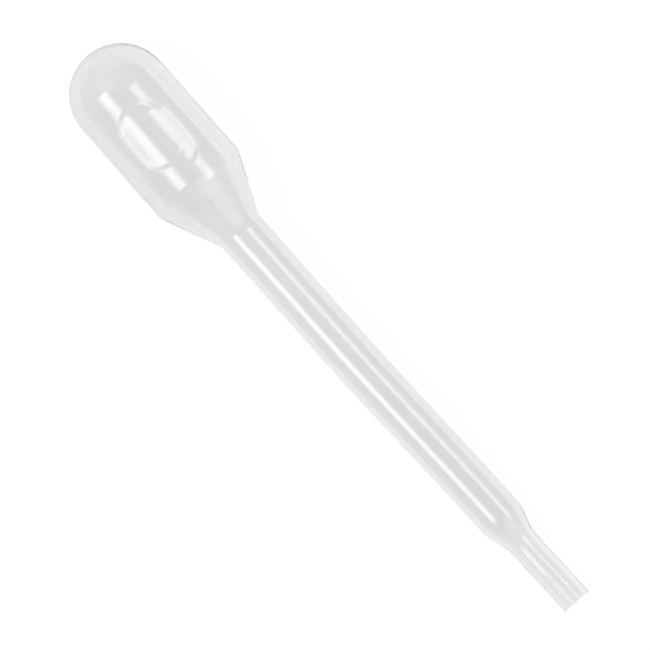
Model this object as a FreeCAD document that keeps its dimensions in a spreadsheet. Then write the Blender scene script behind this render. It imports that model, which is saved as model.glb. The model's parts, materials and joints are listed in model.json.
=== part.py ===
"""A plastic dropper pipette, blown in one piece: a round-ended squeeze bulb with a thumb pad
on each mould half, a conical shoulder, a long hollow stem, a short taper and an open tip.

The forms are drawn in the pipette's own frame, with X along its axis from the bulb's round end
to the tip and Z up through the front thumb pad. The finished piece is then laid down as it
comes to rest, on the shoulder bend of its bulb and on the bend where its stem starts to taper,
with its origin under the middle of its box.
"""

import FreeCAD, Part
import math
import os
import Sketcher

SIZES = (
    ("bulb_diameter", 12.5, "outside of the squeeze bulb"),
    ("bulb_length", 20.65, "round end to the shoulder's corner"),
    ("bulb_wall", 0.6, "wall of the bulb"),
    ("shoulder_length", 7.35, "cone between bulb and stem, along the axis"),
    ("shoulder_bend", 2.2, "outer radius where the bulb turns into the shoulder"),
    ("neck_bend", 2.5, "outer radius where the shoulder turns into the stem"),
    ("stem_diameter", 5.8, "outside of the stem"),
    ("stem_length", 46.7, "between the corners of shoulder and taper"),
    ("stem_wall", 0.55, "wall of the stem"),
    ("taper_length", 3.3, "cone between stem and tip, along the axis"),
    ("taper_bend", 2.0, "outer radius where the stem turns into the taper"),
    ("throat_bend", 5.0, "outer radius where the taper turns into the tip"),
    ("tip_diameter", 3.75, "outside of the tip"),
    ("tip_length", 9.85, "taper's corner to the square cut at the end"),
    ("tip_wall", 0.55, "wall of the tip"),
    ("pad_centre", 13.1, "round end to the middle of a thumb pad"),
    ("pad_length", 8.1, "thumb pad along the bulb"),
    ("pad_width", 5.5, "thumb pad across the bulb"),
    ("pad_corner", 2.3, "corner radius of the thumb pad's outline"),
    ("pad_depth", 0.15, "how far the pad's crown lies below the bulb's"),
    ("pad_crown", 6.6, "radius across the flatter face of the pad"),
    ("margin", 1.0, "how far a cutting form stands past what it cuts"),
)

BULB_RADIUS = "Sizes.bulb_diameter / 2"
STEM_RADIUS = "Sizes.stem_diameter / 2"
TIP_RADIUS = "Sizes.tip_diameter / 2"
SHOULDER_START = "Sizes.bulb_length"
STEM_START = f"({SHOULDER_START} + Sizes.shoulder_length)"
TAPER_START = f"({STEM_START} + Sizes.stem_length)"
TIP_START = f"({TAPER_START} + Sizes.taper_length)"
TIP_END = f"({TIP_START} + Sizes.tip_length)"
SHOULDER_TURN = f"atan(({BULB_RADIUS} - {STEM_RADIUS}) / Sizes.shoulder_length)"
TAPER_TURN = f"atan(({STEM_RADIUS} - {TIP_RADIUS}) / Sizes.taper_length)"
SAME_PLACE = 1e-4


def make_sheet(doc):
    """The driving dimensions, in millimetres and degrees."""
    sheet = doc.addObject("Spreadsheet::Sheet", "Sizes")
    for row, (alias, size, meaning) in enumerate(SIZES, start=1):
        sheet.set(f"A{row}", alias)
        sheet.set(f"B{row}", str(size))
        sheet.set(f"C{row}", meaning)
        sheet.setAlias(f"B{row}", alias)
    doc.recompute()


def value(doc, expression):
    """What an expression on the sheet comes to, as a plain number."""
    found = doc.Sizes.evalExpression(expression)
    return float(getattr(found, "Value", found))


def point(doc, corner):
    """A corner, given as two expressions, as a point of a sketch."""
    across, up = corner
    return FreeCAD.Vector(value(doc, across), value(doc, up), 0)


def new_sketch(body, name, role):
    """An empty sketch on one of the body's origin planes."""
    sketch = body.newObject("Sketcher::SketchObject", name)
    plane = next(f for f in body.Origin.OriginFeatures if f.Role == role)
    sketch.AttachmentSupport = [(plane, "")]
    sketch.MapMode = "FlatFace"
    return sketch


def constrain(sketch, kind, *where):
    sketch.addConstraint(Sketcher.Constraint(kind, *where))


def bind(sketch, kind, *where, size):
    """Adds a dimension to a sketch and ties it to an expression."""
    start = value(sketch.Document, size)
    index = sketch.addConstraint(Sketcher.Constraint(kind, *where, start))
    sketch.setExpression(f"Constraints[{index}]", size)


def bind_start(sketch, edge, corner):
    """Ties the start of an edge to a corner given as two expressions from the origin."""
    bind(sketch, "DistanceX", -1, 1, edge, 1, size=corner[0])
    bind(sketch, "DistanceY", -1, 1, edge, 1, size=corner[1])


def draw_section(body, name, end, radius, corners):
    """Half the section of a round form, to be turned about the sketch's horizontal axis.

    A quarter circle rises from the axis at end to radius; the corners that follow are
    (along, radius) pairs, and the last one drops straight to the axis.
    """
    doc = body.Document
    sketch = new_sketch(body, name, "XZ_Plane")
    pole = FreeCAD.Vector(value(doc, end), 0, 0)
    reach = value(doc, radius)
    middle = pole + FreeCAD.Vector(reach, 0, 0)
    circle = Part.Circle(middle, FreeCAD.Vector(0, 0, 1), reach)
    dome = sketch.addGeometry(Part.ArcOfCircle(circle, math.pi / 2, math.pi))
    outline = [middle + FreeCAD.Vector(0, reach, 0)]
    outline += [point(doc, corner) for corner in corners]
    outline += [FreeCAD.Vector(outline[-1].x, 0, 0), pole]
    runs = [sketch.addGeometry(Part.LineSegment(a, b)) for a, b in zip(outline, outline[1:])]
    *_, far_side, along_axis = runs
    constrain(sketch, "Tangent", dome, 1, runs[0], 1)
    for before, after in zip(runs, runs[1:]):
        constrain(sketch, "Coincident", before, 2, after, 1)
    constrain(sketch, "Coincident", along_axis, 2, dome, 2)
    for foot in ((dome, 3), (dome, 2), (far_side, 2)):
        constrain(sketch, "PointOnObject", *foot, -1)
    constrain(sketch, "Vertical", far_side)
    bind(sketch, "Radius", dome, size=radius)
    bind(sketch, "DistanceX", -1, 1, dome, 3, size=f"{end} + {radius}")
    for edge, corner in zip(runs[1:], corners):
        bind_start(sketch, edge, corner)
    return sketch


def draw_round_rectangle(body, name, centre, length, width, corner):
    """A rectangle with round corners on the body's XY plane, its middle on the X axis."""
    doc = body.Document
    sketch = new_sketch(body, name, "XY_Plane")
    radius = value(doc, corner)
    right = value(doc, length) / 2 - radius
    top = value(doc, width) / 2 - radius
    arcs = []
    for quarter, (x, y) in enumerate(((right, top), (-right, top), (-right, -top), (right, -top))):
        middle = FreeCAD.Vector(value(doc, centre) + x, y, 0)
        circle = Part.Circle(middle, FreeCAD.Vector(0, 0, 1), radius)
        start = quarter * math.pi / 2
        arcs.append(sketch.addGeometry(Part.ArcOfCircle(circle, start, start + math.pi / 2)))
    sides = []
    for before, after in zip(arcs, [*arcs[1:], arcs[0]]):
        ends = sketch.getPoint(before, 2), sketch.getPoint(after, 1)
        sides.append(sketch.addGeometry(Part.LineSegment(*ends)))
        constrain(sketch, "Tangent", before, 2, sides[-1], 1)
        constrain(sketch, "Tangent", sides[-1], 2, after, 1)
    top_side, left_side, bottom_side, right_side = sides
    constrain(sketch, "Horizontal", top_side)
    constrain(sketch, "Horizontal", bottom_side)
    constrain(sketch, "Vertical", left_side)
    for arc in arcs[1:]:
        constrain(sketch, "Equal", arcs[0], arc)
    constrain(sketch, "Symmetric", right_side, 1, right_side, 2, -1)
    bind(sketch, "Radius", arcs[0], size=corner)
    bind(sketch, "DistanceX", left_side, 1, right_side, 1, size=length)
    bind(sketch, "DistanceX", -1, 1, right_side, 1, size=f"{centre} + {length} / 2")
    bind(sketch, "DistanceY", bottom_side, 1, top_side, 1, size=width)
    return sketch


def revolve(body, sketch, name):
    """The solid that a section makes, turned once round the sketch's horizontal axis."""
    turned = body.newObject("PartDesign::Revolution", name)
    turned.Profile = sketch
    turned.ReferenceAxis = (sketch, ["H_Axis"])
    turned.Angle = 360
    body.Document.recompute()


def round_ring(body, name, ring, bend):
    """Rounds the ring at (along, radius) of a turned form by a bend of its own radius."""
    along, radius = (value(body.Document, size) for size in ring)
    base = body.Tip
    edges = [
        f"Edge{number}"
        for number, edge in enumerate(base.Shape.Edges, start=1)
        if not edge.Degenerated
        and isinstance(edge.Curve, Part.Circle)
        and abs(edge.Curve.Center.x - along) < SAME_PLACE
        and abs(edge.Curve.Radius - radius) < SAME_PLACE
    ]
    rounding = body.newObject("PartDesign::Fillet", name)
    rounding.Base = (base, edges)
    rounding.setExpression("Radius", bend)
    body.Document.recompute()


def pocket_through(body, sketch, name):
    """Cuts a sketch right through a body, both ways, and sees that it took something off."""
    before = body.Tip.Shape.Volume
    pocket = body.newObject("PartDesign::Pocket", name)
    pocket.Profile = sketch
    pocket.Type = "ThroughAll"
    pocket.SideType = "Symmetric"
    body.Document.recompute()
    if not pocket.Shape.Volume < before:
        raise ValueError(f"{name} cuts nothing")


def cut(doc, name, base, tool):
    """One solid less another, which has to take something off."""
    result = doc.addObject("Part::Cut", name)
    result.Base = base
    result.Tool = tool
    doc.recompute()
    if not result.Shape.Volume < base.Shape.Volume:
        raise ValueError(f"{name} cuts nothing")
    return result


def make_outside(doc):
    """The outside of the pipette, filled, with its tip cut off square."""
    body = doc.addObject("PartDesign::Body", "outside")
    shoulder = (SHOULDER_START, BULB_RADIUS)
    neck = (STEM_START, STEM_RADIUS)
    taper = (TAPER_START, STEM_RADIUS)
    throat = (TIP_START, TIP_RADIUS)
    corners = (shoulder, neck, taper, throat, (TIP_END, TIP_RADIUS))
    section = draw_section(body, "outside_section", "0", BULB_RADIUS, corners)
    revolve(body, section, "outside_turned")
    round_ring(body, "outside_shoulder", shoulder, "Sizes.shoulder_bend")
    round_ring(body, "outside_neck", neck, "Sizes.neck_bend")
    round_ring(body, "outside_taper", taper, "Sizes.taper_bend")
    round_ring(body, "outside_throat", throat, "Sizes.throat_bend")
    return body


def make_hollow(doc):
    """The space inside, one wall in from the outside, running out past the tip."""
    body = doc.addObject("PartDesign::Body", "hollow")
    bulb = f"({BULB_RADIUS} - Sizes.bulb_wall)"
    stem = f"({STEM_RADIUS} - Sizes.stem_wall)"
    tip = f"({TIP_RADIUS} - Sizes.tip_wall)"
    shoulder = (f"{SHOULDER_START} - Sizes.bulb_wall * tan({SHOULDER_TURN} / 2)", bulb)
    neck = (f"{STEM_START} - Sizes.stem_wall * tan({SHOULDER_TURN} / 2)", stem)
    taper = (f"{TAPER_START} - Sizes.stem_wall * tan({TAPER_TURN} / 2)", stem)
    throat = (f"{TIP_START} - Sizes.tip_wall * tan({TAPER_TURN} / 2)", tip)
    corners = (shoulder, neck, taper, throat, (f"{TIP_END} + Sizes.margin", tip))
    section = draw_section(body, "hollow_section", "Sizes.bulb_wall", bulb, corners)
    revolve(body, section, "hollow_turned")
    round_ring(body, "hollow_shoulder", shoulder, "Sizes.shoulder_bend - Sizes.bulb_wall")
    round_ring(body, "hollow_neck", neck, "Sizes.neck_bend + Sizes.stem_wall")
    round_ring(body, "hollow_taper", taper, "Sizes.taper_bend - Sizes.stem_wall")
    round_ring(body, "hollow_throat", throat, "Sizes.throat_bend + Sizes.tip_wall")
    return body


def make_pad_form(doc, name, inset):
    """What a mould half presses in at its thumb pad, down to the pad's face or to a face an
    inset further in: a prism of the pad's outline, scooped out underneath by the pad's crown."""
    body = doc.addObject("PartDesign::Body", name)
    prism = body.newObject("PartDesign::Pad", name + "_prism")
    prism.Profile = draw_round_rectangle(
        body,
        name + "_outline",
        centre="Sizes.pad_centre",
        length="Sizes.pad_length",
        width="Sizes.pad_width",
        corner="Sizes.pad_corner",
    )
    prism.setExpression("Length", f"{BULB_RADIUS} + Sizes.margin")
    doc.recompute()
    crown = new_sketch(body, name + "_crown", "YZ_Plane")
    radius = f"Sizes.pad_crown - {inset}"
    drop = f"Sizes.pad_crown + Sizes.pad_depth - {BULB_RADIUS}"
    middle = FreeCAD.Vector(0, -value(doc, drop), 0)
    crown.addGeometry(Part.Circle(middle, FreeCAD.Vector(0, 0, 1), value(doc, radius)))
    constrain(crown, "PointOnObject", 0, 3, -2)
    bind(crown, "Radius", 0, size=radius)
    bind(crown, "DistanceY", 0, 3, -1, 1, size=drop)
    pocket_through(body, crown, name + "_scoop")
    return body


def press_pads(doc, form, inset):
    """A form with a thumb pad pressed into it from the front and from the back."""
    front = make_pad_form(doc, form.Name + "_front_pad", inset)
    back = doc.addObject("Part::Mirroring", form.Name + "_back_pad")
    back.Source = front
    back.Normal = FreeCAD.Vector(0, 0, 1)
    doc.recompute()
    pressed = cut(doc, form.Name + "_pressed_in_front", form, front)
    return cut(doc, form.Name + "_pressed", pressed, back)


def bend_circle(doc, corner, bend, angle):
    """(along, off the axis, radius) of the circle that rounds a convex corner of the outside."""
    along, off_axis = (value(doc, size) for size in corner)
    radius = value(doc, bend)
    turned = math.radians(value(doc, angle))
    return along - radius * math.tan(turned / 2), off_axis - radius, radius


def rest_angle(doc):
    """How far the axis dips towards the tip, in degrees, when the pipette lies on its bulb's
    shoulder and on whichever comes down first, the end of the stem or the end of the tip."""
    shoulder, taper = (SHOULDER_START, BULB_RADIUS), (TAPER_START, STEM_RADIUS)
    on_bulb = bend_circle(doc, shoulder, "Sizes.shoulder_bend", SHOULDER_TURN)
    on_stem = bend_circle(doc, taper, "Sizes.taper_bend", TAPER_TURN)
    on_tip = (value(doc, TIP_END), value(doc, TIP_RADIUS), 0)

    def dip(other):
        run, fall = other[0] - on_bulb[0], on_bulb[1] - other[1]
        return math.asin((on_bulb[2] - other[2]) / math.hypot(run, fall)) + math.atan2(fall, run)

    return math.degrees(min(dip(on_stem), dip(on_tip)))


def lay_down(doc, piece):
    """Tips the finished piece to its rest and puts the origin under the middle of its box."""
    tipped = FreeCAD.Rotation(FreeCAD.Vector(0, 1, 0), rest_angle(doc))
    piece.Placement = FreeCAD.Placement(FreeCAD.Vector(), tipped)
    box = piece.Shape.optimalBoundingBox(False, False)
    under = FreeCAD.Vector(box.Center.x, box.Center.y, box.ZMin)
    piece.Placement = FreeCAD.Placement(under.negative(), tipped)


def check(doc, pieces):
    """Raises if any object of the document failed, a sketch can still move or a piece isn't one
    sound solid."""
    failed = [o.Label for o in doc.Objects if {"Invalid", "Error"} & set(o.State)]
    sketches = doc.findObjects("Sketcher::SketchObject")
    failed += [sketch.Label for sketch in sketches if sketch.solve() or not sketch.FullyConstrained]
    if failed:
        raise ValueError(f"failed to compute: {', '.join(failed)}")
    for piece in pieces:
        shape = piece.Shape
        if shape.isNull() or not shape.isValid() or len(shape.Solids) != 1:
            raise ValueError(f"{piece.Label} isn't one sound solid")


def write(pieces):
    """One STEP file per piece, named by its label."""
    os.makedirs("parts", exist_ok=True)
    for piece in pieces:
        piece.Shape.exportStep(f"parts/{piece.Label}.step")
        print(f"{piece.Label}: {piece.Shape.Volume:.1f} mm3")


def main():
    doc = FreeCAD.newDocument("dropper_pipette")
    make_sheet(doc)
    outside = press_pads(doc, make_outside(doc), inset="0")
    hollow = press_pads(doc, make_hollow(doc), inset="Sizes.bulb_wall")
    pipette = cut(doc, "pipette", outside, hollow)
    lay_down(doc, pipette)
    doc.recompute()
    check(doc, [pipette])
    write([pipette])


main()
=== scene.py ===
"""Looks of a plastic dropper pipette, blown in one piece out of soft, cloudy polyethylene.

The pipette lies on a pale table on the shoulder of its squeeze bulb and the end of its stem, as
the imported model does. Its one wall is modelled here with both its faces, from the round end of
the bulb to the cut tip, with the thumb pads that the two mould halves press into the bulb.
Lengths are in metres and angles in degrees unless a name says otherwise.
"""

import json
import logging
import math
from dataclasses import dataclass
from enum import Enum

import bmesh
import bpy
from mathutils import Matrix, Vector


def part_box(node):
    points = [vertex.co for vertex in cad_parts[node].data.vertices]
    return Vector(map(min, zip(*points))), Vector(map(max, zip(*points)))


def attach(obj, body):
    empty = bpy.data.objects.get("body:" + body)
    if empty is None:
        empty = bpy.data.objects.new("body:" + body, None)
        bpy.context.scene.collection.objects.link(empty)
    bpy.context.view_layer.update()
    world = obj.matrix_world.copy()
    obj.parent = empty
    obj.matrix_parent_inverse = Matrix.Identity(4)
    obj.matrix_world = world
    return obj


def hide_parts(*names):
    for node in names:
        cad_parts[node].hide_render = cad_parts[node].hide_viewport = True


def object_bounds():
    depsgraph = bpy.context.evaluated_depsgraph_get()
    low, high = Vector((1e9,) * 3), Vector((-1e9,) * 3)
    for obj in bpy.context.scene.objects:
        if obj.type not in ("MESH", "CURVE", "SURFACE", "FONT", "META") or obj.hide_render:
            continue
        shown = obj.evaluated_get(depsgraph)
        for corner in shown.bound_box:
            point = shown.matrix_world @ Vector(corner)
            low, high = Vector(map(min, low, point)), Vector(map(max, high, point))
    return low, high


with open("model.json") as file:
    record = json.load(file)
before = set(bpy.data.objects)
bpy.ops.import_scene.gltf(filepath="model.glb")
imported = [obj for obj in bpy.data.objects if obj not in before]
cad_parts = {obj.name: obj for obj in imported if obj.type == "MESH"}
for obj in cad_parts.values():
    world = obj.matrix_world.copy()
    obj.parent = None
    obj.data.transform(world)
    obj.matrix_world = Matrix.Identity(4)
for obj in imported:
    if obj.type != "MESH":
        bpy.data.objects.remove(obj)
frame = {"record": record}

CAD_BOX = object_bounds()
NODE = "pipette"
BODY = "root"
MILLI = 0.001

# How far off its ring a vertex may lie, and how near two vertices have to be to become one.
SLACK = 0.01 * MILLI
WELD = 0.001 * MILLI

# Nearly all of a noise pattern lies between these two values.
TROUGH = 0.3
CREST = 0.7

log = logging.getLogger("dropper_pipette")


def clamp(share: float) -> float:
    """Keeps a share between 0 and 1."""
    return min(max(share, 0.0), 1.0)


def eased(share: float) -> float:
    """Makes a share between 0 and 1 start and end gently."""
    return share * share * (3 - 2 * share)


class Side(Enum):
    """The two mould halves, each with its own thumb pad."""

    FRONT = 1
    BACK = -1


@dataclass(frozen=True)
class Mount:
    """A straight round stretch of the pipette, as the record states it."""

    name: str

    @property
    def stated(self) -> dict:
        """The record's entry."""
        return next(m for m in frame["record"]["mounts"] if m["name"] == self.name)

    @property
    def middle(self) -> Vector:
        """The middle of the stretch, on its axis."""
        return Vector(self.stated["pos_m"])

    @property
    def along(self) -> Vector:
        """The direction of its axis, towards the tip."""
        return Vector(self.stated["axis"]).normalized()

    @property
    def radius(self) -> float:
        """The outer radius."""
        return self.stated["dims"]["r_mm"] * MILLI


@dataclass(frozen=True)
class Lie:
    """How the pipette lies in the frame.

    Its own form is drawn with x along the axis from the round end, and z up through the
    front thumb pad.
    """

    pole: Vector
    along: Vector

    @classmethod
    def from_frame(cls, bulb_radius: float) -> "Lie":
        """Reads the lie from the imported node's box and from the stem's mount.

        Args:
            bulb_radius: Outer radius of the bulb and of its round end.

        Returns:
            The place of the round end's outermost point and the axis's direction.
        """
        stem = Mount("stem")
        low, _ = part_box(NODE)
        run = (low.x + bulb_radius - stem.middle.x) / stem.along.x
        centre = stem.middle + stem.along * run
        return cls(centre - stem.along * bulb_radius, stem.along)

    @property
    def across(self) -> Vector:
        """Level, at right angles to the axis."""
        return Vector((0, 0, 1)).cross(self.along).normalized()

    @property
    def up(self) -> Vector:
        """At right angles to the axis, out through the front thumb pad."""
        return self.along.cross(self.across)

    @property
    def matrix(self) -> Matrix:
        """Takes the pipette's own form to where it lies."""
        turn = Matrix((self.along, self.across, self.up)).transposed().to_4x4()
        return Matrix.Translation(self.pole) @ turn


class Shop:
    """The few things done again and again at the modelling bench."""

    @staticmethod
    def clear() -> None:
        """Deselects every object."""
        for each in bpy.context.selected_objects:
            each.select_set(False)

    @staticmethod
    def take(piece: bpy.types.Object) -> None:
        """Selects one object and makes it the active one."""
        Shop.clear()
        piece.select_set(True)
        bpy.context.view_layer.objects.active = piece

    @staticmethod
    def edit(piece: bpy.types.Object) -> None:
        """Opens a piece in edit mode, ready to pick vertices."""
        Shop.take(piece)
        bpy.ops.object.mode_set(mode="EDIT")
        bpy.ops.mesh.select_mode(type="VERT")

    @staticmethod
    def close(piece: bpy.types.Object) -> None:
        """Leaves edit mode."""
        bpy.ops.object.mode_set(mode="OBJECT")
        piece.data.update()

    @staticmethod
    def pick_ring(piece: bpy.types.Object, along: float) -> None:
        """Selects the edges of a ring at a place along the axis.

        Args:
            piece: The object in edit mode.
            along: The ring's place.
        """
        bpy.ops.mesh.select_all(action="DESELECT")
        mesh = bmesh.from_edit_mesh(piece.data)
        for edge in mesh.edges:
            if all(abs(v.co.x - along) < SLACK for v in edge.verts):
                edge.select_set(True)
        mesh.select_flush_mode()
        bmesh.update_edit_mesh(piece.data)

    @staticmethod
    def apply(piece: bpy.types.Object, modifier: bpy.types.Modifier) -> None:
        """Applies a modifier to its piece."""
        Shop.take(piece)
        bpy.ops.object.modifier_apply(modifier=modifier.name)

    @staticmethod
    def push(piece: bpy.types.Object, direction: str, by: float, group: str) -> None:
        """Pushes a piece's vertices one way.

        Args:
            piece: The object, out of edit mode.
            direction: The axis that they move along, Y or Z.
            by: How far they move.
            group: Vertex group with each one's share of the way, or an empty name for all of it.
        """
        push = piece.modifiers.new("push", "DISPLACE")
        push.direction = direction
        push.mid_level = 0.0
        push.strength = by
        push.vertex_group = group
        Shop.apply(piece, push)


@dataclass(frozen=True)
class Corner:
    """A corner of the outline, rounded by a bend of its own, which is made in steps."""

    along: float
    radius: float
    bend: float
    steps: int


@dataclass(frozen=True)
class ThumbPad:
    """The shallow oval that each mould half presses into the bulb, flatter towards its sides."""

    centre: float = 13.1 * MILLI
    length: float = 8.1 * MILLI
    width: float = 5.5 * MILLI
    corner: float = 2.3 * MILLI
    depth: float = 0.15 * MILLI
    side_slope: float = 0.38
    crown: float = 1.5 * MILLI
    edge: float = 0.28 * MILLI

    def inside(self, x: float, y: float) -> float:
        """How far a point lies inside the pad's outline, negative outside it.

        Args:
            x: Place along the axis.
            y: Place across it.

        Returns:
            The distance to the outline, a rectangle with round corners.
        """
        over_x = abs(x - self.centre) - self.length / 2 + self.corner
        over_y = abs(y) - self.width / 2 + self.corner
        out = math.hypot(max(over_x, 0.0), max(over_y, 0.0))
        return self.corner - out - min(max(over_x, over_y), 0.0)

    def press(self, x: float, y: float, bulb_radius: float) -> float:
        """How far the bulb's face is pressed in at a point.

        Args:
            x: Place along the axis.
            y: Place across it.
            bulb_radius: Outer radius of the bulb.

        Returns:
            The depth, fading out over the pad's soft edge.
        """
        if abs(y) >= bulb_radius:
            return 0.0
        share = eased(clamp(self.inside(x, y) / self.edge + 0.5))
        fall = self.side_slope * (math.hypot(y, self.crown) - self.crown)
        bulb_fall = bulb_radius - math.sqrt(bulb_radius**2 - y**2)
        return share * max(self.depth + fall - bulb_fall, 0.0)


@dataclass
class Pipette:
    """The pipette's one wall: bulb, shoulder, stem, taper and tip.

    A lean is the share by which the wall is thicker on one side than on average, and a fullness
    the share by which it is thicker at one place, or thinner if it is below zero.
    """

    bulb_radius: float = 6.25 * MILLI
    bulb_length: float = 20.65 * MILLI
    bulb_wall: float = 0.6 * MILLI
    shoulder_length: float = 7.35 * MILLI
    shoulder_bend: float = 2.2 * MILLI
    neck_bend: float = 2.5 * MILLI
    stem_length: float = 46.7 * MILLI
    stem_draw: float = 0.05 * MILLI
    stem_wall: float = 0.55 * MILLI
    taper_length: float = 3.3 * MILLI
    taper_bend: float = 2.0 * MILLI
    throat_bend: float = 5.0 * MILLI
    tip_length: float = 9.85 * MILLI
    rim_softness: float = 0.05 * MILLI
    rim_turn: float = 50.0
    smooth_turn: float = 40.0
    bulb_lean: float = 0.2
    stem_lean: float = 0.0
    tip_lean: float = 0.2
    pole_fullness: float = 0.15
    front_fullness: float = 0.5
    back_fullness: float = -0.1
    tip_thinning: float = 0.15
    inner_ease: int = 14
    ease_strength: float = 0.5
    outer_ripple: float = 0.03 * MILLI
    inner_ripple: float = 0.02 * MILLI
    ripple_length: float = 5.0 * MILLI
    bow_course: tuple[tuple[float, float], ...] = (
        (8 * MILLI, 0.11 * MILLI),
        (18 * MILLI, 0.0),
        (30 * MILLI, -0.15 * MILLI),
        (47 * MILLI, -0.21 * MILLI),
        (74 * MILLI, 0.15 * MILLI),
        (78 * MILLI, 0.1 * MILLI),
        (88 * MILLI, 0.22 * MILLI),
    )
    sides: int = 160
    dome_rings: int = 40
    bulb_rings: int = 72
    shoulder_rings: int = 8
    stem_rings: int = 40
    tip_rings: int = 8

    def __post_init__(self) -> None:
        """Works out where each stretch ends, and takes the straight radii from the record."""
        self.stem_radius = Mount("stem").radius
        self.tip_radius = Mount("tip").radius
        self.shoulder_start = self.bulb_length
        self.stem_start = self.shoulder_start + self.shoulder_length
        self.taper_start = self.stem_start + self.stem_length
        self.tip_start = self.taper_start + self.taper_length
        self.tip_end = self.tip_start + self.tip_length
        self.lie = Lie.from_frame(self.bulb_radius)
        self.pad = ThumbPad()

    def corners(self) -> tuple[Corner, ...]:
        """The four corners of the outline, from the bulb to the tip."""
        return (
            Corner(self.shoulder_start, self.bulb_radius, self.shoulder_bend, 10),
            Corner(self.stem_start, self.stem_radius + self.stem_draw, self.neck_bend, 8),
            Corner(self.taper_start, self.stem_radius - self.stem_draw, self.taper_bend, 8),
            Corner(self.tip_start, self.tip_radius, self.throat_bend, 8),
        )

    def blow_bulb(self) -> bpy.types.Object:
        """Makes the round end out of half a sphere, open towards the shoulder."""
        Shop.clear()
        bpy.ops.mesh.primitive_uv_sphere_add(
            segments=self.sides,
            ring_count=2 * self.dome_rings,
            radius=self.bulb_radius,
            location=(self.bulb_radius, 0, 0),
            rotation=(0, math.pi / 2, 0),
        )
        piece = bpy.context.object
        piece.name = "pipette_wall"
        bpy.ops.object.transform_apply(location=True, rotation=True, scale=True)
        Shop.edit(piece)
        bpy.ops.mesh.select_all(action="SELECT")
        bpy.ops.mesh.bisect(
            plane_co=(self.bulb_radius, 0, 0), plane_no=(1, 0, 0), clear_outer=True
        )
        return piece

    def draw_out(self, piece: bpy.types.Object, start: float, corner: Corner) -> None:
        """Draws the open end out to the next corner.

        Args:
            piece: The wall so far, in edit mode, open at its far end.
            start: Where the open end is.
            corner: Where it goes, and how wide it is there.
        """
        Shop.pick_ring(piece, start)
        mesh = bmesh.from_edit_mesh(piece.data)
        was = max(math.hypot(v.co.y, v.co.z) for v in mesh.verts if v.select)
        bpy.ops.mesh.extrude_region_move(
            TRANSFORM_OT_translate={"value": (corner.along - start, 0, 0)}
        )
        factor = corner.radius / was
        bpy.ops.transform.resize(
            value=(1, factor, factor), center_override=(corner.along, 0, 0)
        )

    def divide(self, piece: bpy.types.Object, start: float, end: float, cuts: int) -> None:
        """Divides the one long row of faces within a stretch into even rings.

        Args:
            piece: The wall, in edit mode.
            start: Where the stretch starts.
            end: Where it ends.
            cuts: How many rings to add.
        """
        bpy.ops.mesh.select_all(action="DESELECT")
        mesh = bmesh.from_edit_mesh(piece.data)
        middle = (start + end) / 2
        for edge in mesh.edges:
            low, high = sorted(v.co.x for v in edge.verts)
            if low < middle < high and start <= low and high <= end:
                edge.select_set(True)
        bmesh.update_edit_mesh(piece.data)
        bpy.ops.mesh.subdivide(number_cuts=cuts)

    def bend_corner(self, piece: bpy.types.Object, corner: Corner, turn: float) -> None:
        """Rounds a corner of the outline.

        Args:
            piece: The wall, in edit mode.
            corner: The corner to round.
            turn: How far the outline turns there, in radians.
        """
        Shop.pick_ring(piece, corner.along)
        bpy.ops.mesh.bevel(
            offset_type="OFFSET",
            offset=corner.bend * math.tan(turn / 2),
            segments=corner.steps,
            profile=0.5,
            affect="EDGES",
            clamp_overlap=False,
        )

    def press_pad(self, piece: bpy.types.Object, side: Side) -> None:
        """Presses a thumb pad into the bulb from one mould half.

        Args:
            piece: The wall, out of edit mode.
            side: The mould half.
        """
        depths = {
            v.index: self.pad.press(v.co.x, v.co.y, self.bulb_radius)
            for v in piece.data.vertices
            if v.co.z * side.value > 0 and v.co.x < self.shoulder_start
        }
        deepest = max(depths.values())
        group = piece.vertex_groups.new(name=f"{side.name.lower()}_pad")
        for index, depth in depths.items():
            if depth > 0:
                group.add([index], depth / deepest, "REPLACE")
        Shop.push(piece, "Z", -side.value * deepest, group.name)

    def ripple(self, piece: bpy.types.Object, depth: float, group: str) -> None:
        """Leaves the faint waves of a wall that was blown, not cut.

        Args:
            piece: The wall, out of edit mode.
            depth: Height of the waves from trough to crest.
            group: Name of the vertex group that they run over, or an empty name for all.
        """
        waves = bpy.data.textures.new("waves", "CLOUDS")
        waves.noise_scale = self.ripple_length
        waves.noise_depth = 1
        push = piece.modifiers.new("ripple", "DISPLACE")
        push.texture = waves
        push.texture_coords = "LOCAL"
        push.direction = "NORMAL"
        push.mid_level = 0.5
        push.strength = depth
        push.vertex_group = group
        Shop.apply(piece, push)

    def wall_share(self, place: Vector) -> float:
        """How thick the wall is behind a point of its outer face.

        Args:
            place: The point, in the pipette's own form.

        Returns:
            The thickness, as a share of the bulb's wall.
        """
        past = clamp((place.x - self.shoulder_start) / self.shoulder_length)
        end = clamp((place.x - self.taper_start) / self.taper_length)
        thin = self.stem_wall / self.bulb_wall
        share = (1 + (thin - 1) * past) * (1 - self.tip_thinning * end)
        share *= 1 + self.pole_fullness * max(1 - place.x / self.bulb_radius, 0.0) ** 2
        off_axis = math.hypot(place.y, place.z)
        if off_axis > 0:
            lean = self.bulb_lean + (self.stem_lean - self.bulb_lean) * past
            lean += (self.tip_lean - self.stem_lean) * end
            share *= 1 - lean * place.y / off_axis * min(place.x / self.bulb_radius, 1.0)
            fullness = self.front_fullness if place.z > 0 else self.back_fullness
            share *= 1 + fullness * (past - end) * (place.z / off_axis) ** 2
        return share

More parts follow.
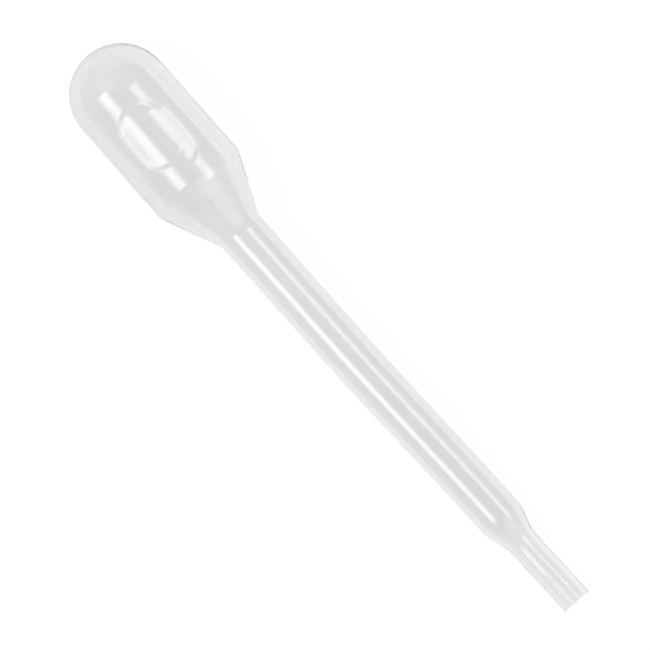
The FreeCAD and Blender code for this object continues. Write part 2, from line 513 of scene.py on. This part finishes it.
    def give_wall(self, piece: bpy.types.Object) -> None:
        """Gives the form its wall, thinner past the shoulder and uneven, as a blown one is.

        Args:
            piece: The outside of the pipette, as one open surface.
        """
        lean = max(self.bulb_lean, self.stem_lean, self.tip_lean)
        fullness = max(self.pole_fullness, self.front_fullness, self.back_fullness)
        thickest = (1 + lean) * (1 + fullness)
        group = piece.vertex_groups.new(name="wall")
        for v in piece.data.vertices:
            group.add([v.index], self.wall_share(v.co) / thickest, "REPLACE")
        wall = piece.modifiers.new("wall", "SOLIDIFY")
        wall.thickness = self.bulb_wall * thickest
        wall.offset = -1
        wall.use_even_offset = True
        wall.use_rim = True
        wall.shell_vertex_group = piece.vertex_groups.new(name="inside").name
        wall.vertex_group = group.name
        Shop.apply(piece, wall)

    def ease_inside(self, piece: bpy.types.Object) -> None:
        """Rounds the bulb's inner face, which never takes the mould's edges as sharply.

        Args:
            piece: The wall with both its faces, out of edit mode.
        """
        inside = piece.vertex_groups["inside"].index
        bulb = piece.vertex_groups.new(name="inside_bulb")
        for v in piece.data.vertices:
            if v.co.x < self.stem_start and any(each.group == inside for each in v.groups):
                bulb.add([v.index], 1.0, "REPLACE")
        ease = piece.modifiers.new("ease", "SMOOTH")
        ease.factor = self.ease_strength
        ease.iterations = self.inner_ease
        ease.vertex_group = bulb.name
        Shop.apply(piece, ease)

    def soften_rim(self, piece: bpy.types.Object) -> None:
        """Takes the sharpness off the two edges of the cut."""
        softer = piece.modifiers.new("rim", "BEVEL")
        softer.limit_method = "ANGLE"
        softer.angle_limit = math.radians(self.rim_turn)
        softer.width = self.rim_softness
        softer.segments = 1
        Shop.apply(piece, softer)

    def bow(self, piece: bpy.types.Object) -> None:
        """Lets the soft stem bow a little to one side, as it does after it has been packed.

        Args:
            piece: The wall, out of edit mode.
        """
        low = min(aside for _, aside in self.bow_course)
        span = max(aside for _, aside in self.bow_course) - low
        group = piece.vertex_groups.new(name="bow")
        for v in piece.data.vertices:
            group.add([v.index], (self.bowed(v.co.x) - low) / span, "REPLACE")
        Shop.push(piece, "Y", span, group.name)
        # The shares count from the course's lowest point, so the whole piece goes back by it.
        Shop.push(piece, "Y", low, "")

    def bowed(self, x: float) -> float:
        """How far the axis stands aside at a place along it, on a smooth course."""
        course = self.bow_course
        if x <= course[0][0]:
            return course[0][1]
        for (start, before), (end, after) in zip(course, course[1:]):
            if x <= end:
                return before + (after - before) * eased((x - start) / (end - start))
        return course[-1][1]

    def lay_down(self, piece: bpy.types.Object) -> None:
        """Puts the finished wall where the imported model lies, with its place in its mesh."""
        piece.matrix_world = self.lie.matrix
        Shop.take(piece)
        bpy.ops.object.transform_apply(location=True, rotation=True, scale=True)

    def build(self, finish: "Polyethylene") -> bpy.types.Object:
        """Models the pipette's wall and dresses it.

        Args:
            finish: What the wall is made of.

        Returns:
            The finished piece.
        """
        piece = self.blow_bulb()
        shoulder, neck, taper, throat = self.corners()
        end = Corner(self.tip_end, self.tip_radius, bend=0, steps=0)
        start = self.bulb_radius
        for corner in (shoulder, neck, taper, throat, end):
            self.draw_out(piece, start, corner)
            start = corner.along
        widening = math.atan((shoulder.radius - neck.radius) / (neck.along - shoulder.along))
        narrowing = math.atan((taper.radius - throat.radius) / (throat.along - taper.along))
        for corner, turn in zip((shoulder, neck, taper, throat), (widening,) * 2 + (narrowing,) * 2):
            self.bend_corner(piece, corner, turn)
        self.divide(piece, self.bulb_radius - SLACK, shoulder.along, self.bulb_rings)
        self.divide(piece, shoulder.along, neck.along, self.shoulder_rings)
        self.divide(piece, neck.along, taper.along, self.stem_rings)
        self.divide(piece, throat.along, end.along + SLACK, self.tip_rings)
        bpy.ops.mesh.select_all(action="SELECT")
        bpy.ops.mesh.remove_doubles(threshold=WELD)
        bpy.ops.mesh.normals_make_consistent(inside=False)
        Shop.close(piece)
        for side in Side:
            self.press_pad(piece, side)
        self.ripple(piece, self.outer_ripple, "")
        self.give_wall(piece)
        self.ease_inside(piece)
        self.ripple(piece, self.inner_ripple, "inside")
        self.soften_rim(piece)
        self.bow(piece)
        self.lay_down(piece)
        Shop.take(piece)
        bpy.ops.object.shade_smooth_by_angle(angle=math.radians(self.smooth_turn))
        piece.data.materials.clear()
        piece.data.materials.append(finish.material(self.lie))
        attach(piece, BODY)
        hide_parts(NODE)
        return piece


class Nodes:
    """The node tree of a material, world or group, and short ways to add to it."""

    def __init__(self, owner: bpy.types.ID) -> None:
        """Clears the owner's tree and keeps it at hand.

        Args:
            owner: A material, a world or a node group.
        """
        if isinstance(owner, bpy.types.NodeTree):
            self.tree = owner
        else:
            owner.use_nodes = True
            self.tree = owner.node_tree
        self.tree.nodes.clear()

    def add(self, kind: str, **settings: object) -> bpy.types.Node:
        """Adds a node and sets its properties.

        Args:
            kind: The node's type, without its ShaderNode prefix.
            **settings: Properties of the node.

        Returns:
            The node.
        """
        node = self.tree.nodes.new("ShaderNode" + kind)
        for name, value in settings.items():
            setattr(node, name, value)
        return node

    def join(self, out: bpy.types.NodeSocket, into: bpy.types.NodeSocket) -> None:
        """Links two sockets."""
        self.tree.links.new(out, into)

    def calc(
        self, operation: str, *values: bpy.types.NodeSocket | float, use_clamp: bool = False
    ) -> bpy.types.NodeSocket:
        """Works something out from values that are given or linked.

        Args:
            operation: The node's operation.
            *values: A number or a socket for each of its inputs.
            use_clamp: Whether the result is kept between 0 and 1.

        Returns:
            The result.
        """
        node = self.add("Math", operation=operation, use_clamp=use_clamp)
        for value, into in zip(values, node.inputs):
            if isinstance(value, bpy.types.NodeSocket):
                self.join(value, into)
            else:
                into.default_value = value
        return node.outputs[0]

    def grey(self, value: bpy.types.NodeSocket) -> bpy.types.NodeSocket:
        """Makes a grey of a value."""
        shade = self.add("CombineColor")
        for channel in ("Red", "Green", "Blue"):
            self.join(value, shade.inputs[channel])
        return shade.outputs["Color"]

    def emboss(
        self, pattern: bpy.types.NodeSocket, height: float, normal: bpy.types.NodeSocket
    ) -> None:
        """Lets a pattern stand out from a surface.

        Args:
            pattern: The marks, between 0 and 1.
            height: How far the highest stand out.
            normal: The shader's normal.
        """
        bump = self.add("Bump")
        bump.inputs["Strength"].default_value = 1.0
        bump.inputs["Distance"].default_value = height
        self.join(pattern, bump.inputs["Height"])
        self.join(bump.outputs["Normal"], normal)

    def span(self, value: bpy.types.NodeSocket, low: float, high: float) -> bpy.types.NodeSocket:
        """Spreads a pattern's middle range over a span of values.

        Args:
            value: The pattern.
            low: What its troughs become.
            high: What its crests become.

        Returns:
            The spread value.
        """
        spread = self.add("MapRange")
        spread.inputs["From Min"].default_value = TROUGH
        spread.inputs["From Max"].default_value = CREST
        spread.inputs["To Min"].default_value = low
        spread.inputs["To Max"].default_value = high
        self.join(value, spread.inputs["Value"])
        return spread.outputs["Result"]


@dataclass(frozen=True)
class DrawnNoise:
    """Uneven marks of a stated size, drawn out along x, as one node group for every finish."""

    name: str = "drawn_noise"
    detail: float = 2.0

    def group(self) -> bpy.types.NodeTree:
        """The group, built the first time that it is asked for."""
        if self.name in bpy.data.node_groups:
            return bpy.data.node_groups[self.name]
        made = bpy.data.node_groups.new(self.name, "ShaderNodeTree")
        for label, kind in (("Vector", "Vector"), ("Size", "Float"), ("Draw", "Float")):
            made.interface.new_socket(label, in_out="INPUT", socket_type="NodeSocket" + kind)
        made.interface.new_socket("Value", in_out="OUTPUT", socket_type="NodeSocketFloat")
        nodes = Nodes(made)
        given = nodes.tree.nodes.new("NodeGroupInput")
        result = nodes.tree.nodes.new("NodeGroupOutput")
        shape = nodes.add("CombineXYZ")
        shape.inputs["Y"].default_value = 1.0
        shape.inputs["Z"].default_value = 1.0
        nodes.join(nodes.calc("DIVIDE", 1.0, given.outputs["Draw"]), shape.inputs["X"])
        drawn = nodes.add("VectorMath", operation="MULTIPLY")
        nodes.join(given.outputs["Vector"], drawn.inputs[0])
        nodes.join(shape.outputs["Vector"], drawn.inputs[1])
        sized = nodes.add("VectorMath", operation="SCALE")
        nodes.join(drawn.outputs["Vector"], sized.inputs[0])
        nodes.join(nodes.calc("DIVIDE", 1.0, given.outputs["Size"]), sized.inputs["Scale"])
        noise = nodes.add("TexNoise")
        noise.inputs["Scale"].default_value = 1.0
        noise.inputs["Detail"].default_value = self.detail
        nodes.join(sized.outputs["Vector"], noise.inputs["Vector"])
        nodes.join(noise.outputs["Fac"], result.inputs["Value"])
        return made

    def place(
        self, nodes: Nodes, where: bpy.types.NodeSocket, size: float, draw: float = 1.0
    ) -> bpy.types.NodeSocket:
        """Puts the group into a material.

        Args:
            nodes: The material's nodes.
            where: The coordinates that the marks follow.
            size: How wide the marks are.
            draw: How many times longer than wide they are along x.

        Returns:
            The marks, between 0 and 1.
        """
        marks = nodes.tree.nodes.new("ShaderNodeGroup")
        marks.node_tree = self.group()
        marks.inputs["Size"].default_value = size
        marks.inputs["Draw"].default_value = draw
        nodes.join(where, marks.inputs["Vector"])
        return marks.outputs["Value"]


@dataclass(frozen=True)
class Speck:
    """A dark crumb caught in the wall, placed in the pipette's own form."""

    along: float
    aside: float
    high: float
    radius: float
    darkness: float
    core: float = 0.4

    def mask(self, nodes: Nodes, where: bpy.types.NodeSocket) -> bpy.types.NodeSocket:
        """How dark the wall is around the crumb.

        Args:
            nodes: The material's nodes.
            where: Coordinates in the pipette's own form.

        Returns:
            The share of the light that is kept, 1 away from the crumb.
        """
        off = nodes.add("VectorMath", operation="DISTANCE")
        off.inputs[1].default_value = (self.along, self.aside, self.high)
        nodes.join(where, off.inputs[0])
        fade = nodes.add("MapRange", interpolation_type="SMOOTHSTEP")
        fade.inputs["From Min"].default_value = self.radius * self.core
        fade.inputs["From Max"].default_value = self.radius
        fade.inputs["To Min"].default_value = 1 - self.darkness
        fade.inputs["To Max"].default_value = 1.0
        nodes.join(off.outputs["Value"], fade.inputs["Value"])
        return fade.outputs["Result"]


@dataclass(frozen=True)
class Polyethylene:
    """Blown low-density polyethylene: colourless, faintly cloudy, softly glossy.

    The haze is how quickly light is lost on its way through, per metre: a wall of 1 mm takes up
    about an eighth of it.
    """

    ior: float = 1.51
    haze: float = 131.0
    cloud: float = 3.2 * MILLI
    cloud_depth: float = 0.012
    streak: float = 0.9 * MILLI
    streak_draw: float = 14.0
    smoothest: float = 0.015
    roughest: float = 0.04
    grain: float = 0.3 * MILLI
    grain_draw: float = 2.0
    grain_height: float = 0.004 * MILLI
    marks: DrawnNoise = DrawnNoise()
    speck: Speck = Speck(
        along=23.75 * MILLI, aside=0.0, high=5.0 * MILLI, radius=0.36 * MILLI, darkness=0.13
    )

    def material(self, lie: Lie) -> bpy.types.Material:
        """Builds the finish as a node material.

        Args:
            lie: How the pipette lies, so that the streaks run along it.

        Returns:
            The material.
        """
        made = bpy.data.materials.new("blown_polyethylene")
        nodes = Nodes(made)
        out = nodes.add("OutputMaterial")
        shader = nodes.add("BsdfPrincipled")
        shader.inputs["IOR"].default_value = self.ior
        shader.inputs["Transmission Weight"].default_value = 1.0
        nodes.join(shader.outputs["BSDF"], out.inputs["Surface"])
        where = self.own_form(nodes, lie)
        clouds = self.marks.place(nodes, where, self.cloud)
        streaks = self.marks.place(nodes, where, self.streak, self.streak_draw)
        self.tint(nodes, shader, where, clouds, streaks)
        nodes.join(nodes.span(streaks, self.smoothest, self.roughest), shader.inputs["Roughness"])
        grain = self.marks.place(nodes, where, self.grain, self.grain_draw)
        nodes.emboss(grain, self.grain_height, shader.inputs["Normal"])
        self.cloudiness(nodes, out)
        return made

    def own_form(self, nodes: Nodes, lie: Lie) -> bpy.types.NodeSocket:
        """Coordinates with x along the pipette's axis, from the round end.

        Args:
            nodes: The material's nodes.
            lie: How the pipette lies.

        Returns:
            The coordinates.
        """
        back = lie.matrix.inverted()
        place = nodes.add("TexCoord")
        turned = nodes.add("Mapping")
        turned.inputs["Location"].default_value = back.to_translation()
        turned.inputs["Rotation"].default_value = back.to_euler()
        nodes.join(place.outputs["Object"], turned.inputs["Vector"])
        return turned.outputs["Vector"]

    def tint(
        self,
        nodes: Nodes,
        shader: bpy.types.Node,
        where: bpy.types.NodeSocket,
        clouds: bpy.types.NodeSocket,
        streaks: bpy.types.NodeSocket,
    ) -> None:
        """Lets through a little less light in clouds and drawn streaks, and at the crumb.

        Args:
            nodes: The material's nodes.
            shader: The surface shader.
            where: Coordinates in the pipette's own form.
            clouds: The broad marks.
            streaks: The marks drawn out along the axis.
        """
        cloudy = nodes.span(clouds, 1 - self.cloud_depth, 1.0)
        streaked = nodes.span(streaks, 1 - self.cloud_depth, 1.0)
        both = nodes.calc("MULTIPLY", cloudy, streaked)
        kept = nodes.calc("MULTIPLY", both, self.speck.mask(nodes, where), use_clamp=True)
        nodes.join(nodes.grey(kept), shader.inputs["Base Color"])

    def cloudiness(self, nodes: Nodes, out: bpy.types.Node) -> None:
        """Lets the plastic itself take up a little light, more where the way through is long.

        Args:
            nodes: The material's nodes.
            out: The material's output.
        """
        inner = nodes.add("VolumeAbsorption")
        # A grey takes up only its own share of the density, so the density is that much higher.
        share = 0.5
        inner.inputs["Color"].default_value = (1 - share, 1 - share, 1 - share, 1)
        inner.inputs["Density"].default_value = self.haze / share
        nodes.join(inner.outputs["Volume"], out.inputs["Volume"])


@dataclass(frozen=True)
class Table:
    """The pale table that the pipette lies on."""

    size: float = 4.0
    paper: float = 0.2
    glow: float = 0.91
    mottle: float = 0.02
    fibre: float = 0.4 * MILLI
    fibre_draw: float = 3.0
    fibre_height: float = 0.01 * MILLI
    marks: DrawnNoise = DrawnNoise()

    def build(self) -> bpy.types.Object:
        """Makes the table's top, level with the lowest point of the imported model."""
        Shop.clear()
        low = CAD_BOX[0]
        bpy.ops.mesh.primitive_plane_add(size=self.size, location=(0, 0, low[2]))
        top = bpy.context.object
        top.name = "table_top"
        bpy.ops.object.transform_apply(location=True, rotation=True, scale=True)
        top.data.materials.append(self.material())
        return top

    def material(self) -> bpy.types.Material:
        """Pale matt paper that reads as white, and keeps the shadow of what lies on it."""
        made = bpy.data.materials.new("pale_table")
        nodes = Nodes(made)
        out = nodes.add("OutputMaterial")
        paper = nodes.add("BsdfDiffuse")
        place = nodes.add("TexCoord")
        fibres = self.marks.place(nodes, place.outputs["Object"], self.fibre, self.fibre_draw)
        tone = nodes.span(fibres, self.paper * (1 - self.mottle), self.paper * (1 + self.mottle))
        nodes.join(nodes.grey(tone), paper.inputs["Color"])
        nodes.emboss(fibres, self.fibre_height, paper.inputs["Normal"])
        glow = nodes.add("Emission")
        glow.inputs["Color"].default_value = (1, 1, 1, 1)
        rays = nodes.add("LightPath").outputs
        seen = nodes.calc("MAXIMUM", rays["Is Camera Ray"], rays["Is Glossy Ray"])
        seen = nodes.calc("MAXIMUM", seen, rays["Is Transmission Ray"])
        nodes.join(nodes.calc("MULTIPLY", seen, self.glow), glow.inputs["Strength"])
        both = nodes.add("AddShader")
        nodes.join(paper.outputs["BSDF"], both.inputs[0])
        nodes.join(glow.outputs["Emission"], both.inputs[1])
        nodes.join(both.outputs["Shader"], out.inputs["Surface"])
        return made


@dataclass(frozen=True)
class Softbox:
    """A square lamp behind white cloth, aimed at the pipette.

    Its place is given by two angles from straight above the axis: aside, towards the side that
    the camera shows lower left, and ahead, towards the tip.
    """

    name: str
    aside: float
    ahead: float
    distance: float
    width: float
    length: float
    strength: float

    def build(self, lie: Lie, target: Vector) -> bpy.types.Object:
        """Hangs the lamp.

        Args:
            lie: How the pipette lies.
            target: What the lamp points at.

        Returns:
            The lamp.
        """
        aside, ahead = math.radians(self.aside), math.radians(self.ahead)
        out = lie.up * math.cos(aside) - lie.across * math.sin(aside)
        out = (out * math.cos(ahead) + lie.along * math.sin(ahead)).normalized()
        side = out.cross(lie.along).normalized()
        lamp = bpy.data.lights.new(self.name, "AREA")
        lamp.shape = "RECTANGLE"
        lamp.size = self.width
        lamp.size_y = self.length
        lamp.energy = self.strength * math.pi * self.width * self.length
        piece = bpy.data.objects.new(self.name, lamp)
        bpy.context.scene.collection.objects.link(piece)
        turn = Matrix((side, out.cross(side), out)).transposed().to_4x4()
        piece.matrix_world = Matrix.Translation(target + out * self.distance) @ turn
        return piece


@dataclass(frozen=True)
class Studio:
    """The light of the room and the camera over the table."""

    room_left: float = 0.1
    room_right: float = 0.4
    room_ends: float = 0.5
    lens: float = 300.0
    sensor: float = 36.0
    view_width: float = 77.64 * MILLI
    aim_along: float = 43.3 * MILLI
    aim_aside: float = 0.1 * MILLI
    towards_tip: float = 5.3
    towards_back: float = 5.4
    fall: float = 48.09
    nearest: float = 0.01
    bounces: int = 24
    glossy_bounces: int = 16
    lamps: tuple[Softbox, ...] = (
        Softbox(
            "softbox_cloth",
            aside=29.6, ahead=-10.7, distance=0.60, width=0.30, length=0.32, strength=1.7,
        ),
        Softbox(
            "softbox_heart",
            aside=29.6, ahead=-10.7, distance=0.59, width=0.16, length=0.27, strength=2.1,
        ),
        Softbox(
            "fill_at_the_tip",
            aside=-25.0, ahead=48.0, distance=0.60, width=0.45, length=0.45, strength=0.6,
        ),
    )

    def light_room(self) -> None:
        """Lights the room softly, brighter to the right and towards both ends of the table."""
        world = bpy.data.worlds.new("room")
        bpy.context.scene.world = world
        nodes = Nodes(world)
        out = nodes.add("OutputWorld")
        sky = nodes.add("Background")
        sky.inputs["Color"].default_value = (1, 1, 1, 1)
        where = nodes.add("TexCoord")
        parts = nodes.add("SeparateXYZ")
        nodes.join(where.outputs["Generated"], parts.inputs["Vector"])
        side = nodes.add("MapRange")
        side.inputs["From Min"].default_value = -1.0
        side.inputs["To Min"].default_value = self.room_left
        side.inputs["To Max"].default_value = self.room_right
        nodes.join(parts.outputs["Y"], side.inputs["Value"])
        ends = nodes.calc("MULTIPLY", parts.outputs["X"], parts.outputs["X"])
        both = nodes.calc("MULTIPLY_ADD", ends, self.room_ends, side.outputs["Result"])
        nodes.join(both, sky.inputs["Strength"])
        nodes.join(sky.outputs["Background"], out.inputs["Surface"])

    def place_camera(self, lie: Lie) -> None:
        """Sets the camera over the pipette, which falls from upper left to lower right.

        Args:
            lie: How the pipette lies.
        """
        ahead, aside = math.radians(self.towards_tip), math.radians(self.towards_back)
        out = lie.up * math.cos(aside) + lie.across * math.sin(aside)
        back = (out * math.cos(ahead) + lie.along * math.sin(ahead)).normalized()
        shown = (lie.along - back * lie.along.dot(back)).normalized()
        beside = back.cross(shown)
        fall = math.radians(self.fall)
        right = shown * math.cos(fall) + beside * math.sin(fall)
        up = beside * math.cos(fall) - shown * math.sin(fall)
        aim = lie.pole + lie.along * self.aim_along - beside * self.aim_aside
        camera = bpy.data.cameras.new("camera")
        camera.lens = self.lens
        camera.sensor_width = self.sensor
        camera.clip_start = self.nearest
        holder = bpy.data.objects.new("camera", camera)
        bpy.context.scene.collection.objects.link(holder)
        away = self.view_width * self.lens / self.sensor
        turn = Matrix((right, up, back)).transposed().to_4x4()
        holder.matrix_world = Matrix.Translation(aim + back * away) @ turn
        bpy.context.scene.camera = holder
        bpy.context.scene.view_settings.view_transform = "Standard"

    def let_light_through(self) -> None:
        """Lets light run on inside the clear wall for as many bounces as it needs."""
        cycles = bpy.context.scene.cycles
        cycles.max_bounces = self.bounces
        cycles.glossy_bounces = self.glossy_bounces
        cycles.transmission_bounces = self.bounces

    def build(self, lie: Lie) -> None:
        """Sets up room, lamps and camera."""
        self.light_room()
        self.place_camera(lie)
        self.let_light_through()
        target = lie.pole + lie.along * self.aim_along
        for lamp in self.lamps:
            lamp.build(lie, target)


def main() -> None:
    """Builds the pipette, the table and the studio in order."""
    logging.basicConfig(level=logging.INFO, format="%(name)s: %(message)s")
    pipette = Pipette()
    wall = pipette.build(Polyethylene())
    log.info("%s: %d faces", wall.name, len(wall.data.polygons))
    Table().build()
    Studio().build(pipette.lie)


if __name__ == "__main__":
    main()
